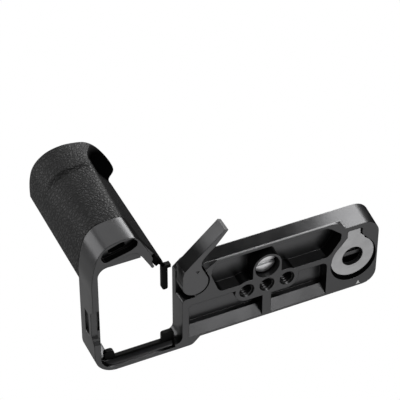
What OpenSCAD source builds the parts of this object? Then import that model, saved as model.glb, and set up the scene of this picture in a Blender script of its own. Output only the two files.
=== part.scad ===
/* [View] */
// Which piece is drawn

/* [Base plate] */
// Thickness of the base plate
plate_t = 9.5; // [8:0.1:12]
// Right end of the plate, measured from the camera screw
plate_right = 50.4; // [45:0.1:60]
// Left end of the plate beside the battery opening
plate_left = -37.4; // [-38:0.1:-36]
// Front corner radius of the right end
front_corner_r = 7; // [3:0.5:10]
// Back corner radius of the right end
back_corner_r = 6; // [3:0.5:10]
// Thickness of the web over the pockets
web_t = 3.65; // [2.5:0.05:5]
// Thickness of the overhanging slab under the camera
slab_t = 3.2; // [2.5:0.1:4]

/* [Dovetail] */
// Front tip of the dovetail
dovetail_front = -11.7; // [-13:0.1:-11]
// Width of the dovetail over both tips
dovetail_w = 38; // [38:0.1:39]
// Height of the upright land at the tips
dovetail_land = 0.8; // [0.5:0.1:1.5]
// How far the neck lies inside the tips
dovetail_neck = 3.2; // [2.8:0.1:4]
// How far the top edge lies inside the tips
slab_inset = 1.6; // [1:0.1:2.4]

/* [Pockets] */
// Back edge of the front pockets
pocket_back = 5.3; // [4:0.1:6]
// Front edge of the back recesses
recess_front = 8; // [7:0.1:9]
// Corner radius of the pockets
pocket_r = 1.6; // [0.5:0.1:3]

/* [Camera screw] */
// Radius of the stud, a quarter inch thread
stud_r = 3.175; // [3:0.005:3.3]
// Height of the stud over the seat
stud_h = 4.8; // [4:0.1:5.5]
// Radius of the slotted head
head_r = 4.8; // [4:0.1:5.2]
// Depth of the head face below the bottom of the plate
head_recess = 2.7; // [1:0.1:3]
// Inner radius of the ring around the head
ring_in_r = 5.4; // [5.2:0.1:6]
// Outer radius of the ring
ring_out_r = 6.4; // [6:0.1:7]
// Radius of the retaining ring
retainer_r = 4; // [3.6:0.1:4.4]
// Thickness of the retaining ring
retainer_t = 0.8; // [0.6:0.1:1]

/* [Threaded holes] */
// Distance between the threaded holes
hole_pitch = 9; // [8:0.1:12]
// Distance of the row of holes behind the camera screw
hole_y = 9.6; // [9:0.1:12]
// Minor radius of the quarter inch thread
hole_r = 2.6; // [2.5:0.01:2.7]
// Depth of the holes
hole_depth = 7.5; // [6:0.1:8]
// Radius of the bosses
boss_r = 5.2; // [4.5:0.1:6]

/* [Key] */
// Place of the key disc
key_at = [39.4, 9.9];
// Radius of the key disc
key_r = 9.85; // [9:0.05:11]
// Radius of the hole in the disc
key_hole_r = 4.75; // [4:0.05:6]
// Thickness of the disc
key_t = 2.15; // [1.5:0.05:3]
// Depth of the disc's face below the bottom of the plate
key_recess = 1; // [0.5:0.1:2]
// Width of the blade on the disc
blade_w = 6; // [5:0.1:7]
// Front end of the blade
blade_tip = -4.7; // [-6:0.1:-3]
// Radius of the pocket
key_pocket_r = 10.4; // [10:0.05:11]
// Centre of the pocket behind the camera screw
key_pocket_y = 11.2; // [10:0.1:12]
// Travel of the disc out of its pocket
key_travel = 12; // [8:1:20]

/* [Handle] */
// Height of the handle's top over the seat
handle_top = 57.4; // [50:0.1:62]
// Front face of the handle at its foot
handle_front = -36.75; // [-40:0.05:-34]
// Top of the bare metal band
band_top = 3.6; // [2:0.1:6]
// Top of the metal core inside the handle
core_top = 52; // [46:0.5:54]
// Thickness of the metal core
core_t = 1.2; // [1:0.1:2]
// Thickness of the liner
liner_t = 0.6; // [0.5:0.1:1]
// Height of the finger crease
crease_z = 38.5; // [34:0.5:42]
// Depth of the finger crease
crease_d = 0.5; // [0.3:0.1:1.5]

/* [Battery opening] */
// Outer face of the left wall
wall_x = -75; // [-78:0.1:-72]
// Thickness of the left wall
wall_t = 2.6; // [2:0.1:3.5]
// Top of the left wall behind the handle
wall_top = 3.9; // [2:0.1:6]
// Outer face of the back rail
rail_y = 29.7; // [28:0.1:31]
// Inner face of the back rail
rail_in_y = 26.9; // [26:0.1:28]
// Thickness of the ledge under the camera
ledge_t = 2; // [1:0.1:3]
// Top of the back rail below the seat
rail_drop = 4; // [3:0.1:4.5]
// Width of the ledge along the left wall
ledge_w = 2.9; // [2:0.1:5]
// Front edge of the opening
open_y = -18.2; // [-19:0.1:-16]
// Radius of the opening's front corner
open_r = 4.3; // [1:0.1:6]

/* [Swing arm] */
// Place of the arm's pivot
pivot_at = [-31.6, -2.8];
// Radius of the arm's eye
eye_r = 5.6; // [5:0.1:6]
// Gap around the eye
eye_gap = 0.6; // [0.4:0.1:1]
// Swing from open to closed
swing = 69; // [60:0.1:80]
// Radius of the pivot screw's shoulder
shoulder_r = 2; // [1.5:0.05:2.2]
// Radius of the pivot screw's head
pivot_head_r = 3.2; // [2.8:0.1:3.4]
// Radius of the detent ball
ball_r = 0.8; // [0.6:0.05:1]
// Distance of the detent ball from the pivot
ball_ring_r = 4.2; // [4:0.05:4.4]

/* [Hidden] */
$fn = 64;
seam = 0.01;
z_bot = -plate_t;
dovetail_back = dovetail_front + dovetail_w;
neck_front = dovetail_front + dovetail_neck;
neck_back = dovetail_back - dovetail_neck;
slab_front = dovetail_front + slab_inset;
slab_back = dovetail_back - slab_inset;
flank_z = z_bot + dovetail_land + dovetail_neck;
run_gap = 0.05;
fit_gap = 0.06;
pocket_floor = -web_t;
pocket_slope = 3.5;
arm_top = -slab_t - 0.3;
blade_top = -2.4;
open_x = wall_x + wall_t + ledge_w;
rail_top = -rail_drop;
seat_pad_up = 0.2;
stations_per_span = 5;

metal = [0.30, 0.30, 0.31];
steel = [0.68, 0.68, 0.69];
soft = [0.21, 0.21, 0.21];
rubber = [0.09, 0.09, 0.09];

// Plan helpers: corners given as [x, y, radius]
function unit(v) = v / norm(v);
function flat(p) = [p[0], p[1]];
function arc_at(a, b, c, r, n = 5) =
    let (u = unit(a - b), v = unit(c - b), half = acos(u * v) / 2, o = b + unit(u + v) * (r / sin(half)),
        p = b + u * (r / tan(half)), q = b + v * (r / tan(half)),
        a0 = atan2(p[1] - o[1], p[0] - o[0]), a1 = atan2(q[1] - o[1], q[0] - o[0]),
        turn = ((a1 - a0 + 540) % 360) - 180)
    [for (i = [0 : n]) o + r * [cos(a0 + turn * i / n), sin(a0 + turn * i / n)]];
function rounded(p) = let (n = len(p))
    [for (i = [0 : n - 1])
        each (p[i][2] > 0
            ? arc_at(flat(p[(i + n - 1) % n]), flat(p[i]), flat(p[(i + 1) % n]), p[i][2])
            : [flat(p[i])])];

module slab(z0, z1) translate([0, 0, z0]) linear_extrude(z1 - z0) children();

// Prism along X from a profile given as [y, z]
module along_x(x0, x1, profile)
    translate([x0, 0, 0]) rotate([90, 0, 90]) linear_extrude(x1 - x0) polygon(profile);

// Prism along Y from a profile given as [x, z]
module along_y(y0, y1, profile)
    translate([0, y1, 0]) rotate([90, 0, 0]) linear_extrude(y1 - y0) polygon(profile);

module rod(r, z0, z1) translate([0, 0, z0]) cylinder(r = r, h = z1 - z0);

// The handle's plans are drawn from its free end, and stretch to the wall and to the front
free_end = [-41, -11];
drawn_wall = -75;
drawn_front = -36.75;
stretch_x = (wall_x - free_end[0]) / (drawn_wall - free_end[0]);
stretch_y = (handle_front - free_end[1]) / (drawn_front - free_end[1]);
function stretched(p) = [for (q = p)
    [free_end[0] + (q[0] - free_end[0]) * (q[0] < free_end[0] ? stretch_x : 1),
        free_end[1] + (q[1] - free_end[1]) * (q[1] < free_end[1] ? stretch_y : 1)]];

// Outline of the handle from its left rear edge round the front to the lens side,
// at the foot and at the rim, with the share of each point's lean that runs evenly up the handle
foot_pts = stretched([[-75, -12], [-75, -17.5], [-74.4, -22.3], [-73.4, -27.5], [-71.5, -32.3], [-68, -35.5],
    [-62.7, -36.75], [-57.9, -36.7], [-55.4, -34.9], [-53.2, -31.2], [-51.2, -27.1], [-48.6, -21.6],
    [-45.2, -16.4], [-41.6, -11]]);
rim_pts = stretched([[-75, -12.6], [-75, -17.8], [-74.5, -22.6], [-73.3, -26.5], [-70.7, -30], [-66.3, -32.8],
    [-60.7, -34], [-55.4, -33.7], [-50.4, -32.4], [-46.6, -29.5], [-43.1, -24.8], [-39.9, -18.9],
    [-38.7, -14.2], [-41.2, -10.9]]);
lean = [1, 1, 1, 1, 1, 1, 1, 0.8, 0.45, 0.2, 0.05, 0, 0, 0];
core_pts = stretched([[-73.5, -12], [-73.5, -17.4], [-73, -21.9], [-71.9, -25.8], [-69.6, -28.8], [-65.8, -31.2],
    [-61, -32.4], [-57.8, -32.2], [-55.6, -30.9], [-53.9, -28.6], [-52.2, -25.7], [-49.8, -20.8],
    [-46.5, -15.6], [-42.85, -10.2]]);
crease_share = [0, 0, 0.4, 0.9, 1, 1, 1, 0.7, 0.2, 0, 0, 0, 0, 0];
flare_start = [40, 40, 40, 40, 40, 40, 40, 40, 43, 47, 51, 52, 52.4, 52.6];

function step01(t) = let (u = min(1, max(0, t))) u * u * (3 - 2 * u);
function spline(a, b, c, d, t) =
    0.5 * (2 * b + (c - a) * t + (2 * a - 5 * b + 4 * c - d) * t * t + (3 * b - a - 3 * c + d) * t * t * t);
function sampled(p) = let (n = len(p))
    [for (i = [0 : n - 2], j = [0 : stations_per_span - 1])
        spline(i > 0 ? p[i - 1] : 2 * p[0] - p[1], p[i], p[i + 1],
            i < n - 2 ? p[i + 2] : 2 * p[n - 1] - p[n - 2], j / stations_per_span),
        p[n - 1]];
function outward(p) = let (n = len(p))
    [for (i = [0 : n - 1])
        let (d = unit(p[min(i + 1, n - 1)] - p[max(i - 1, 0)])) [d[1], -d[0]]];
function reversed(p) = [for (i = [len(p) - 1 : -1 : 0]) p[i]];

foot_line = sampled(foot_pts);
rim_line = sampled(rim_pts);
lean_line = sampled(lean);
crease_line = sampled(crease_share);
flare_line = sampled(flare_start);
stations = len(foot_line);
core_line = sampled(core_pts);
foot_out = outward(foot_line);
core_normals = outward(core_line);
core_out = [for (i = [0 : stations - 1]) i == 0 ? [-1, 0] : core_normals[i]];
function core_at(i, d) = core_line[i] - core_out[i] * d;
function core_back(d) = [for (i = [stations - 1 : -1 : 0]) core_at(i, d)];

flare_end = 55.8;
crease_run = 9;
crease_lip = 1.8;
bulge_run = 16;
function crease_shape(z) =
    z < crease_z
        ? -crease_d * step01((z - crease_z + crease_run) / crease_run)
        : z < crease_z + crease_lip
            ? -crease_d + 2 * crease_d * step01((z - crease_z) / crease_lip)
            : crease_d * (1 - step01((z - crease_z - crease_lip) / bulge_run));
function cover_at(i, z, back) =
    let (even = min(1, (z - band_top) / (flare_end - band_top)),
        late = step01((z - flare_line[i]) / (flare_end - flare_line[i])),
        t = lean_line[i] * even + (1 - lean_line[i]) * late)
    foot_line[i] + (rim_line[i] - foot_line[i]) * t
        + foot_out[i] * (crease_line[i] * crease_shape(z) - back);

// Rings of the soft cover: height and rounding of the outside, height and depth of the inside
rim_r = 1.3;
cover_rings = [
    [band_top, 0, band_top, 0], [8, 0, 8, 0], [13, 0, 13, 0], [18, 0, 18, 0],
    [23, 0, 23, 0], [27, 0, 27, 0], [30, 0, 30, 0], [32.5, 0, 32.5, 0],
    [35, 0, 35, 0], [37, 0, 37, 0], [38.5, 0, 38.5, 0], [39.1, 0, 39.1, 0],
    [39.7, 0, 39.7, 0], [40.3, 0, 40.3, 0], [42, 0, 42, 0], [44, 0, 44, 0],
    [46, 0, 46, 0], [48, 0, 48, 0], [50, 0, 50, 0], [51.2, 0, 51.2, 0],
    [52.2, 0, core_top, 0], [53.1, 0, core_top, core_t], [53.8, 0, 53.6, core_t],
    [54.4, 0, 54.2, core_t], [55, 0, 54.9, core_t], [55.6, 0, 55.5, core_t],
    [handle_top - rim_r, 0, 56, core_t],
    [handle_top - rim_r * 0.62, rim_r * 0.08, 56.5, core_t],
    [handle_top - rim_r * 0.29, rim_r * 0.29, 56.9, core_t],
    [handle_top - rim_r * 0.08, rim_r * 0.62, 57.2, core_t - 0.2],
    [handle_top, rim_r, handle_top, core_t - 0.6]];

function at(k, i) = k * stations + i;
function quad(a, b, c, d) = [[a, b, c], [a, c, d]];

module handle_cover() color(soft) {
    k_n = len(cover_rings);
    outer = [for (r = cover_rings, i = [0 : stations - 1])
        let (p = cover_at(i, r[0], r[1])) [p[0], p[1], r[0]]];
    inner = [for (r = cover_rings, i = [0 : stations - 1])
        let (p = core_at(i, r[3])) [p[0], p[1], r[2]]];
    half = k_n * stations;
    faces = [
        for (k = [0 : k_n - 2], i = [0 : stations - 2])
            each quad(at(k, i), at(k + 1, i), at(k + 1, i + 1), at(k, i + 1)),
        for (k = [0 : k_n - 2], i = [0 : stations - 2])
            each quad(half + at(k, i), half + at(k, i + 1), half + at(k + 1, i + 1), half + at(k + 1, i)),
        for (i = [0 : stations - 2])
            each quad(at(0, i), at(0, i + 1), half + at(0, i + 1), half + at(0, i)),
        for (i = [0 : stations - 2])
            each quad(at(k_n - 1, i), half + at(k_n - 1, i), half + at(k_n - 1, i + 1), at(k_n - 1, i + 1)),
        for (k = [0 : k_n - 2])
            each quad(at(k, 0), half + at(k, 0), half + at(k + 1, 0), at(k + 1, 0)),
        for (k = [0 : k_n - 2])
            each quad(at(k, stations - 1), at(k + 1, stations - 1), half + at(k + 1, stations - 1),
                half + at(k, stations - 1))];
    polyhedron(concat(outer, inner), faces, convexity = 10);
}

// Plan of a shell between two depths behind the core outline
module shell_plan(d0, d1) polygon(concat(reversed(core_back(d0)), core_back(d1)));

liner_in = core_t + liner_t;
liner_z = 0.8;
lip_len = 0.9;
lip_top = 53.2;
flank_end = foot_line[stations - 1];
flank_dir = unit(foot_line[stations - 1] - foot_line[stations - 2]);

module lip_plan() let (n = stations - 1)
    polygon([flank_end, core_at(n, 0), core_at(n, core_t), core_at(n - 1, core_t), core_at(n - 1, liner_in),
        core_at(n, liner_in), core_at(n, liner_in) + flank_dir * lip_len, flank_end + flank_dir * lip_len]);

module handle_liner() color(rubber) {
    slab(liner_z, core_top) shell_plan(core_t, liner_in);
    slab(liner_z, lip_top) lip_plan();
}

// Plan of the hollow in the band and of the finger beside the arm
finger_root = stretched([[-60, -23.2]])[0];
finger = stretched([[-49.5, -22.7], [-50.1, -21], [-49, -19.1], [-49.1, -18.6],
    [-49.6, -18.3], [-50.2, -18.7], [-50.9, -20.2], [-53.8, -25.4]]);
band_in = stretched([[-55.4, -27.7], [-56.8, -28.5], [-58.6, -28.7], [-63, -27.8], [-69.5, -25.8],
    [-71.2, -24.9], [-72.1, -23.3]]);
ledge_side = stretched([[-49.9, -22.3], [-50.6, -20.6], [-51.4, -19.4]]);
ledge_end = ledge_side[2][0];
wall_start = -12;
foot_front = [for (p = foot_line) if (p[1] < finger_root[1] || p[0] < finger_root[0]) p];

module band_solid() {
    // lower band with its finger
    slab(z_bot, 0) polygon(concat(foot_front, finger, band_in, [[wall_x + wall_t, wall_start - 9.2],
        [wall_x + wall_t, wall_start], [wall_x, wall_start]]));
    // band wall round the foot of the handle
    slab(-seam, band_top) polygon(concat(foot_line, core_back(core_t)));
    slab(band_top - seam, core_top) shell_plan(0, core_t);
    // ledge under the camera
    slab(-ledge_t, 0) polygon(concat(foot_front, ledge_side, [[ledge_end, open_y]],
        arc_at([ledge_end, open_y], [open_x, open_y], [open_x, 0], open_r, 10),
        [[open_x, wall_start + 0.1], [wall_x, wall_start + 0.1]]));
}

function stretched_round(p) = let (q = stretched(p)) [for (i = [0 : len(p) - 1]) [q[i][0], q[i][1], p[i][2]]];

module grip_slot() {
    slot_plan = rounded(stretched_round([[-70.8, -30.8, 1.5], [-69.6, -33.6, 1.5], [-62.8, -35.9, 3],
        [-57.3, -36.1, 1], [-55.5, -34.1, 1], [-55.9, -32, 1.2], [-58.5, -30.5, 3], [-69.4, -27.9, 1.2]]));
    slab(z_bot - 1, -6.8) polygon(slot_plan);
    slab(-6.9, -3.4) polygon(rounded(stretched_round([[-67.2, -33.6, 1], [-60.4, -35.3, 1],
        [-59.6, -31.3, 1], [-66.4, -29.6, 1]])));
}

module left_wall() {
    difference() {
        union() {
            slab(z_bot, band_top) translate([wall_x, wall_start - 0.1]) square([wall_t, 0.3]);
            slab(z_bot, wall_top) polygon(concat([[wall_x, wall_start]], [[wall_x + wall_t, wall_start]],
                arc_at([wall_x + wall_t, 0], [wall_x + wall_t, rail_in_y], [-40, rail_in_y], wall_fillet),
                [[wall_x + 11, rail_in_y], [wall_x + 11, rail_y]],
                reversed(arc_at([wall_x, 0], [wall_x, rail_y], [-40, rail_y], corner_r, 12))));
        }
        // the wall steps down to the rail behind the corner
        translate([wall_x + 8, 20, rail_top]) cube([10, 20, 20]);
        cove();
        // strap slot
        translate([wall_x - 1, 0.4, -4.6]) cube([wall_t + 2, 11.6, 3.8]);
        // notch in the bottom edge with its two ramps
        along_x(wall_x - 1, wall_x + wall_t + 1, [[-4.4, z_bot - 1], [-4.4, z_bot], [-1.8, -6.8], [10.5, -6.8],
            [11.4, -8], [12.5, -8], [13.7, z_bot], [13.7, z_bot - 1]]);
    }
    // ledge along the wall with its relief for the strap
    difference() {
        translate([wall_x + wall_t - seam, wall_start - 0.2, -ledge_t]) cube([ledge_w + seam, rail_in_y + 10.9, ledge_t]);
        translate([wall_x, -1, -ledge_t - 1]) cube([wall_t + ledge_w - 0.1, 14.4, ledge_t + 0.2]);
    }
}

corner_r = 9.4;
wall_fillet = 5;
web_fillet = 3;
lip_y = 28.1;

// Cove along the underside of the rail
module cove() intersection() {
    along_x(wall_x + 2, plate_left - 1.8, [[20, z_bot - 1], [lip_y, z_bot - 1], [lip_y, -8],
        [27.7, -7.6], [rail_in_y, -6.2], [20, -6.2]]);
    slab(z_bot - 2, 0) polygon(rounded([[wall_x + wall_t, 22, 0], [-36, 22, 0], [-36, lip_y, 0], [wall_x + wall_t, lip_y, 6]]));
}

rail_x0 = wall_x + 8.6;
rail_x1 = plate_left - 2.6;

// Tabs that carry the corner pads
tab_t = 1;
module corner_tabs() {
    translate([rail_x0 - 2.6, rail_in_y - 3.6, rail_top - 0.5 - tab_t]) cube([3, 4, tab_t]);
    translate([rail_x1 - 3.7, rail_in_y - 3.8, rail_top - 0.5 - tab_t]) cube([3.2, 4, tab_t]);
}

module back_rail() {
    difference() {
        slab(z_bot, rail_top) polygon([[rail_x0, rail_in_y], [rail_x1, rail_in_y], [rail_x1, rail_y], [rail_x0, rail_y]]);
        cove();
    }
    corner_tabs();
}

neck_x0 = -26.4;
end_x = 34.6;
end_y = 5;

// Outline of the solid plate at pocket level, and the slab above it
core_plan = rounded([[neck_x0, neck_front, 0], [end_x + 0.1, neck_front, 0], [end_x + 0.1, end_y, 0],
    [plate_right, end_y, 0], [plate_right, dovetail_back, back_corner_r],
    [-29, dovetail_back, 0], [plate_left, dovetail_back, 0], [plate_left, 4.2, 1.5], [-31.6, 4.2, 0],
    [-27, -2.8, 0]]);
slab_plan = rounded([[plate_left, -6.6, 1], [-33.6, slab_front, 2], [end_x + 0.1, slab_front, 0],
    [end_x + 0.1, end_y, 0], [plate_right, end_y, 0], [plate_right, dovetail_back, back_corner_r],
    [plate_left, dovetail_back, 0]]);

// Right front corner, whose front face leans in towards the bottom
front_lean = (neck_front - slab_front) / flank_z;
end_bottom = slab_front + front_lean * z_bot;
function end_ring(y, r) = concat([[end_x, y]],
    arc_at([end_x, y], [plate_right, y], [plate_right, end_y], r, 12), [[plate_right, end_y + 1], [end_x, end_y + 1]]);
module right_end() {
    low = end_ring(end_bottom, front_corner_r);
    high = end_ring(slab_front, front_corner_r + 1);
    n = len(low);
    polyhedron(
        concat([for (p = low) [p[0], p[1], z_bot]], [for (p = high) [p[0], p[1], 0]]),
        concat([[for (i = [0 : n - 1]) i]], [[for (i = [n - 1 : -1 : 0]) n + i]],
            [for (i = [0 : n - 1]) let (j = (i + 1) % n) each [[i, n + i, n + j], [i, n + j, j]]]));
}

// Leaning front of the plate, down to the neck of the dovetail
module leaning_front() along_x(neck_x0, end_x + 0.2, [[slab_front, 0], [neck_front, flank_z],
    [neck_front + 1, flank_z], [neck_front + 1, 0]]);
module front_room() along_x(-40, end_x, [[slab_front, 0], [neck_front, flank_z],
    [dovetail_front - 1, flank_z], [dovetail_front - 1, 0]]);

module plate_solid() {
    slab(z_bot, -seam) polygon(core_plan);
    difference() {
        slab(-slab_t, 0) polygon(slab_plan);
        front_room();
    }
    leaning_front();
    right_end();
    // dovetail flare along the front
    intersection() {
        along_x(-30, 36, [[neck_front + 1, z_bot], [dovetail_front, z_bot], [dovetail_front, z_bot + dovetail_land],
            [neck_front, flank_z], [neck_front + 1, flank_z]]);
        slab(z_bot - 1, 0) polygon([[-27.2, -8.6], [-22.4, dovetail_front], [28.8, dovetail_front],
            [31.2, -11.2], [33.4, -9.6], [34.6, -7.2], [34.6, -5], [-27.2, -5]]);
    }
    // web that joins the plate to the back rail
    slab(z_bot, 0) polygon(concat([[-29, dovetail_back - 6], [plate_left + seam, dovetail_back - 6]],
        reversed(arc_at([-60, rail_in_y], [plate_left, rail_in_y], [plate_left, 15], web_fillet)),
        [[-40.6, rail_in_y], [-40.6, rail_y]], arc_at([-40.6, rail_y], [-33, rail_y], [-29.5, dovetail_back], 3),
        [[-29.5, dovetail_back], [-29, dovetail_back]]));
}

// Groove behind the rear dovetail tip
module back_groove() along_x(-28.4, plate_right + 1, [[dovetail_back + 5, z_bot + dovetail_land],
    [dovetail_back, z_bot + dovetail_land], [neck_back, flank_z], [neck_back, -slab_t], [slab_back, -slab_t],
    [slab_back, 1], [dovetail_back + 5, 1]]);

module pocket_profile_front() along_x(-40, 50, [[dovetail_front + 1.2, z_bot - 1], [dovetail_front + 1.2, z_bot],
    [dovetail_front + 1.2 + pocket_slope, z_bot + pocket_slope], [dovetail_front + 1.2 + pocket_slope, pocket_floor],
    [9, pocket_floor], [9, z_bot - 1]]);

module pocket_profile_back() along_x(-40, 50, [[dovetail_back - 0.9, z_bot - 1], [dovetail_back - 0.9, z_bot],
    [dovetail_back - 4.55, z_bot + 3.65], [dovetail_back - 4.55, pocket_floor], [4, pocket_floor], [4, z_bot - 1]]);

front_pocket = rounded([[-21.2, pocket_back, 3], [-24.8, -4.6, 1.5], [-24, -7.7, 1.2], [-22.3, -10.6, 1.2],
    [26, -10.6, 2], [28.4, -9.2, 2], [33.2, -5, 1.5], [32.8, -2, 1], [28.6, 4.1, 1.5], [26.9, pocket_back, 0.8]]);

module boss_plan() {
    translate([0, hole_y]) square([2 * hole_pitch, 2 * boss_r], center = true);
    translate([-hole_pitch, hole_y]) circle(r = boss_r);
    translate([hole_pitch, hole_y]) circle(r = boss_r);
    circle(r = ring_out_r);
    translate([-ring_out_r, 0]) square([2 * ring_out_r, hole_y]);
}

module pockets() {
    intersection() {
        pocket_profile_front();
        slab(z_bot - 1, 0) difference() {
            polygon(front_pocket);
            boss_plan();
        }
    }
    intersection() {
        pocket_profile_back();
        slab(z_bot - 1, 0) difference() {
            union() {
                polygon(rounded([[-34.4, recess_front, pocket_r], [-1.9, recess_front, 0], [-1.9, 26, 0], [-34.4, 26, 0]]));
                polygon(rounded([[2, recess_front, 0], [27.2, recess_front, 2.5], [27.2, 26, 0], [2, 26, 0]]));
            }
            boss_plan();
        }
    }
}

shelf_z = z_bot + key_recess + key_t + run_gap;
magnet_at = [6, -4.2];
magnet_r = 2;
magnet_t = 1.5;
push_floor = -4.2;

module key_pocket() {
    // disc and blade room down to the shelf
    slab(z_bot - 1, shelf_z) {
        translate([key_at[0], key_pocket_y]) circle(r = key_pocket_r);
        translate([key_at[0], key_at[1]]) circle(r = key_r + 0.35);
        polygon(rounded([[key_at[0] - blade_w / 2 - 0.4, blade_tip - 0.5, 0.8],
            [key_at[0] + blade_w / 2 + 0.4, blade_tip - 0.5, 0.8],
            [key_at[0] + blade_w / 2 + 0.4, -1.9, 0], [key_at[0] + 6.6, 2.1, 0],
            [key_at[0] - 6.6, 2.1, 0], [key_at[0] - blade_w / 2 - 0.4, -1.9, 0]]));
    }
    // deeper floor behind the fulcrum
    slab(shelf_z - seam, push_floor) intersection() {
        translate([key_at[0], key_pocket_y]) circle(r = key_pocket_r);
        translate([key_at[0] - 15, key_at[1] + 1.2]) square([30, 20]);
    }
    // relief in front of the fulcrum, seen through the disc
    slab(shelf_z - seam, -5.2) translate([key_at[0], key_at[1]]) intersection() {
        circle(r = key_hole_r - 0.4);
        translate([-10, -10.6]) square([20, 10]);
    }
    for (s = [-1, 1])
        translate([key_at[0] + s * magnet_at[0], key_at[1] + magnet_at[1], 0])
            rod(magnet_r + fit_gap, shelf_z - seam, shelf_z + magnet_t + 0.1);
}

head_top = pocket_floor - 0.06;
head_face = z_bot + head_recess;
retainer_z = -1.3;
groove_r = 2.4;

module screw_bore() {
    rod(ring_in_r, z_bot - 1, pocket_floor);
    rod(stud_r + 0.075, pocket_floor - 1, 1);
    rod(retainer_r + 0.4, retainer_z - run_gap, 1);
}

module threaded_holes() for (i = [-1 : 1]) translate([i * hole_pitch, hole_y, 0]) {
    rod(hole_r, z_bot - 1, z_bot + hole_depth);
    translate([0, 0, z_bot - seam]) cylinder(r1 = 3.4, r2 = hole_r, h = 0.8);
}

ball_dir = -120;
groove_room = 0.15;
module pivot_room() translate([pivot_at[0], pivot_at[1], 0]) {
    rod(eye_r + eye_gap, z_bot - 1, -slab_t);
    rod(shoulder_r + fit_gap, -slab_t - 1, 1);
    rod(pivot_head_r + 0.3, -1.6, 1);
    rotate([0, 0, ball_dir]) rotate([0, 0, -swing]) rotate_extrude(angle = swing)
        translate([ball_ring_r, arm_top]) circle(r = ball_r + groove_room, $fn = 32);
    for (a = [0, -swing]) rotate([0, 0, ball_dir + a]) translate([ball_ring_r, 0, arm_top])
        sphere(r = ball_r + groove_room + 0.15, $fn = 32);
}

pad_left_plan = [[-34, 8.2], [-8, 8.2], [-8, 22], [-34, 22]];
pad_right_plan = [[12, -6.6], [46, -6.6], [46, 21], [12, 21]];
pad_depth = 0.8;
module pad_plan(p, d = 0) offset_rect(p[0] - [d, d], p[2] + [d, d]);
module offset_rect(a, b) translate(a) square(b - a);

module tongue_plan() polygon([[-44.6, -15.4], [-42, -11.5], [-40.9, -9.9], [-40.9, 1.4], [-41.9, 1.4],
    [-41.9, -9.4], [-44.5, -12.4], [-46.3, -15]]);

// Tongue that carries the side foot; its front part passes over the closed arm
tongue_z = -1.6;
module tongue() {
    slab(tongue_z, -0.6) intersection() {
        tongue_plan();
        translate([-50, -12]) square([20, 20]);
    }
    slab(tongue_z + 0.7, 0.5) intersection() {
        tongue_plan();
        translate([-50, -20]) square([20, 9.6]);
    }
}

module plate_frame() color(metal) difference() {
    union() {
        plate_solid();
        back_rail();
        left_wall();
        band_solid();
        tongue();
    }
    back_groove();
    pockets();
    key_pocket();
    screw_bore();
    threaded_holes();
    pivot_room();
    grip_slot();
    slab(-pad_depth, 1) pad_plan(pad_left_plan);
    slab(-pad_depth, 1) pad_plan(pad_right_plan);
}

foot_x0 = -42.6;
foot_x1 = -40.2;
foot_y0 = -10.2;

module side_foot() color(rubber) difference() {
    slab(-2.2, 0) union() {
        polygon(rounded([[foot_x0, foot_y0, 0.4], [foot_x1, foot_y0, 0], [foot_x1, 2.3, 0.9], [foot_x0, 2.3, 0.9]]));
        translate([foot_x1 - seam, foot_y0]) square([1.4, 1.6]);
    }
    tongue();
}

pad_low = rail_top - 2;
strip_y = rail_in_y - 0.8;
module rail_pad() color(rubber) {
    difference() {
        union() {
            along_x(rail_x0, rail_x1 - 3.2, [[rail_in_y, pad_low - 0.2], [strip_y, pad_low], [strip_y, rail_top - 0.2],
                [rail_in_y, rail_top]]);
            slab(pad_low, rail_top) polygon(rounded([[wall_x + wall_t + wall_fillet, rail_in_y, 0],
                [open_x, rail_in_y - 0.6, 0], [open_x, rail_in_y - 4.4, 1], [rail_x0 + 0.9, rail_in_y - 4.4, 1.6],
                [rail_x0 + 1.4, rail_in_y, 0]]));
            slab(pad_low, rail_top) polygon(rounded([[rail_x1 - 4.7, rail_in_y, 0],
                [rail_x1 - 4.7, rail_in_y - 4.6, 1], [rail_x1 + 0.5, rail_in_y - 4.6, 1],
                [rail_x1 + 0.5, rail_in_y - 0.4, 0], [plate_left - web_fillet, rail_in_y, 0]]));
        }
        corner_tabs();
    }
}

module seat_pad(p) color(rubber) slab(-pad_depth, seat_pad_up) pad_plan(p);

module camera_screw() color(steel) difference() {
    union() {
        rod(head_r, head_face, head_top);
        rod(stud_r, head_top - seam, retainer_z);
        rod(groove_r, retainer_z - seam, retainer_z + retainer_t + seam);
        rod(stud_r, retainer_z + retainer_t, stud_h - 0.6);
        translate([0, 0, stud_h - 0.6 - seam]) cylinder(r1 = stud_r, r2 = stud_r - 0.6, h = 0.6 + seam);
    }
    translate([0, 0, head_face]) cube([2 * head_r + 1, 1.5, 2.2], center = true);
}

module screw_retainer() color(steel) slab(retainer_z, retainer_z + retainer_t) difference() {
    circle(r = retainer_r);
    circle(r = groove_r + fit_gap);
    translate([0, -retainer_r]) square([3.4, 2 * retainer_r], center = true);
}

arm_plan = [[-37.1, -4.4], [-37, -8], [-36.3, -10.4], [-34.7, -12], [-18.9, -26.5], [-17.6, -26], [-20.1, -22.9], [-23.4, -19],
    [-25.6, -17.1], [-28.1, -14.4], [-28.8, -13], [-28.9, -11], [-28.4, -9.2], [-27.6, -7.6], [-27, -6], [-31.6, -2.8]];

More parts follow.
